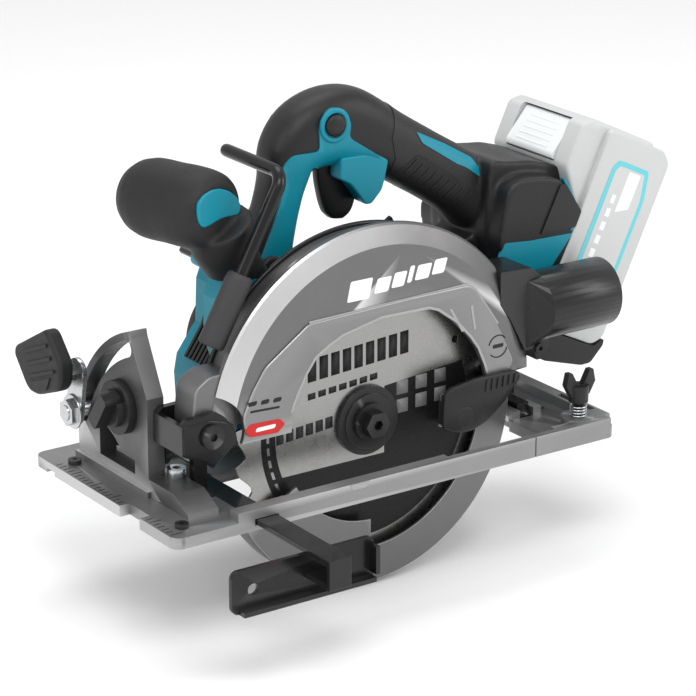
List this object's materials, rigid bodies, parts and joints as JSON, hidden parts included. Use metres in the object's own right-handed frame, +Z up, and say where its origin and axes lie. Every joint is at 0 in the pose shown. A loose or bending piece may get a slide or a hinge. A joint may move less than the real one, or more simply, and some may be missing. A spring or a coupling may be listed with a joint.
{
  "type": "circular saw",
  "caption": "Cordless circular saw with tilting base, depth pivot, swinging blade guard, rip fence, hook and slide-on battery pack.",
  "frame": {"origin": "on the sole of the base, straight below the spindle, in the plane of the blade", "axes": "+X from the front of the base to the battery, +Y from the blade to the motor, +Z up from the sole"},
  "size_m": [0.3648, 0.223, 0.2602],
  "materials": {
    "base_cast": "satin cast",
    "quadrant_cast": "bead blasted",
    "guard_cast": "satin cast with bright edges",
    "shoe_steel": "satin",
    "blade_steel": "ground, with dark printed field",
    "zinc": "bright zinc",
    "black_metal": "gloss black",
    "black_screw": "blackened",
    "dark_plastic": "fine grain",
    "black_rubber": "soft matt",
    "sleeve_rubber": "soft matt",
    "teal_plastic": "fine grain",
    "pale_plastic": "fine grain",
    "white_plastic": "fine grain",
    "motor_core": "laminated",
    "copper_winding": "varnished",
    "circuit_green": "potted board",
    "contact_brass": "bright",
    "cell_wrap": "shrink wrap"
  },
  "bodies": {
    "base": {"base_plate": "base_cast", "bevel_quadrant": "quadrant_cast", "deck_screws": "black_screw", "square_stop_post": "zinc", "front_tilt_pin": "zinc", "rear_tilt_pin": "zinc", "wing_bolt_spring": "zinc"},
    "wing_bolt_body": {"wing_bolt": "dark_plastic"},
    "stop_knob": {"bevel_stop_knob": "dark_plastic"},
    "rip_fence": {"fence_bar": "black_metal", "fence_plate": "black_metal"},
    "tilt_frame": {"front_bracket": "black_metal", "depth_pivot_pin": "black_screw", "bevel_clamp_bolt": "zinc", "depth_guide": "black_metal"},
    "bevel_lever": {"bevel_lever_arm": "zinc", "bevel_lever_grip": "black_rubber", "bevel_lever_nut": "zinc"},
    "saw_body": {"upper_guard": "guard_cast", "gear_housing": "guard_cast", "motor_housing": "teal_plastic", "motor_rear_cover": "dark_plastic", "handle_shell_near": "dark_plastic", "handle_shell_far": "dark_plastic", "handle_screws": "black_screw", "front_grip": "black_rubber", "front_grip_cap": "teal_plastic", "dust_nozzle": "dark_plastic", "nozzle_screw": "black_screw", "hook_sleeve": "sleeve_rubber", "hex_key": "black_screw", "switch_unit": "dark_plastic", "controller": "circuit_green", "terminal_block": "contact_brass", "spindle_bearings": "zinc", "motor_bearings": "zinc", "stator": "copper_winding", "depth_clamp_bolt": "zinc", "guard_spring": "zinc", "guard_bumper": "black_rubber"},
    "hook": {"hook_rod": "black_metal"},
    "depth_lever_body": {"depth_lever": "black_metal"},
    "spindle": {"spindle_shaft": "zinc", "drive_gear": "motor_core", "inner_flange": "black_screw", "saw_blade": "blade_steel", "outer_flange": "black_screw", "blade_bolt": "black_screw"},
    "motor_rotor": {"rotor": "motor_core", "cooling_fan": "dark_plastic"},
    "blade_guard": {"lower_guard": "shoe_steel", "guard_lever": "dark_plastic", "guard_lever_screw": "black_screw"},
    "trigger_body": {"trigger": "dark_plastic"},
    "lock_off": {"lock_off_button": "dark_plastic"},
    "shaft_lock": {"shaft_lock_button": "dark_plastic"},
    "battery": {"battery_case": "pale_plastic", "battery_cells": "cell_wrap"},
    "battery_latch": {"battery_button": "white_plastic"}
  },
  "joints": [
    {"name": "wing_bolt_turn", "type": "hinge", "parent": "base", "child": "wing_bolt_body", "pos_m": [0.1227, -0.0283, 0.01], "axis": [0, 0, 1], "continuous": true},
    {"name": "stop_knob_turn", "type": "hinge", "parent": "base", "child": "stop_knob", "pos_m": [-0.124, 0.041, 0.0485], "axis": [1, 0, 0], "range_deg": [0, 90]},
    {"name": "fence_slide", "type": "slide", "parent": "base", "child": "rip_fence", "axis": [0, -1, 0], "range_m": [-0.036, 0.06]},
    {"name": "bevel_tilt", "type": "hinge", "parent": "base", "child": "tilt_frame", "pos_m": [0, 0.0045, 0.005], "axis": [1, 0, 0], "range_deg": [0, 45]},
    {"name": "bevel_lever_turn", "type": "hinge", "parent": "tilt_frame", "child": "bevel_lever", "pos_m": [-0.13, 0.08143, 0.03453], "axis": [1, 0, 0], "range_deg": [-55, 0]},
    {"name": "depth_lift", "type": "hinge", "parent": "tilt_frame", "child": "saw_body", "pos_m": [-0.104, 0, 0.044], "axis": [0, -1, 0], "range_deg": [0, 30]},
    {"name": "depth_lever_turn", "type": "hinge", "parent": "saw_body", "child": "depth_lever_body", "pos_m": [0.04543, 0.022, 0.03093], "axis": [0, 1, 0], "range_deg": [-60, 0]},
    {"name": "guard_swing", "type": "hinge", "parent": "saw_body", "child": "blade_guard", "pos_m": [0, 0, 0.0274], "axis": [0, -1, 0], "range_deg": [0, 130], "stiffness_Nm_per_rad": 0.15, "springref_deg": -51.57},
    {"name": "blade_spin", "type": "hinge", "parent": "saw_body", "child": "spindle", "pos_m": [0, 0, 0.0274], "axis": [0, 1, 0], "continuous": true},
    {"name": "rotor_spin", "type": "hinge", "parent": "saw_body", "child": "motor_rotor", "pos_m": [-0.014, 0.06, 0.05107], "axis": [0, 1, 0], "continuous": true},
    {"name": "hook_swing", "type": "hinge", "parent": "saw_body", "child": "hook", "pos_m": [-0.0942, 0.003, 0.086], "axis": [0.4779, 0, 0.8784], "range_deg": [0, 90]},
    {"name": "trigger_pull", "type": "slide", "parent": "saw_body", "child": "trigger_body", "axis": [0, 0, 1], "range_m": [0, 0.005], "stiffness_N_per_m": 900, "springref_m": -0.002},
    {"name": "lock_off_press", "type": "slide", "parent": "saw_body", "child": "lock_off", "axis": [0, 1, 0], "range_m": [0, 0.003], "stiffness_N_per_m": 700, "springref_m": -0.002},
    {"name": "shaft_lock_press", "type": "slide", "parent": "saw_body", "child": "shaft_lock", "axis": [-1, 0, 0], "range_m": [0, 0.003], "stiffness_N_per_m": 900, "springref_m": -0.002},
    {"name": "battery_slide", "type": "slide", "parent": "saw_body", "child": "battery", "axis": [0.4305, 0, 0.9026], "range_m": [0, 0.06]},
    {"name": "battery_button_press", "type": "slide", "parent": "battery", "child": "battery_latch", "axis": [0.9026, 0, -0.4305], "range_m": [0, 0.002], "stiffness_N_per_m": 900, "springref_m": -0.002}
  ],
  "couplings": [
    {"joint": "rotor_spin", "follows": "blade_spin", "ratio": -4}
  ]
}
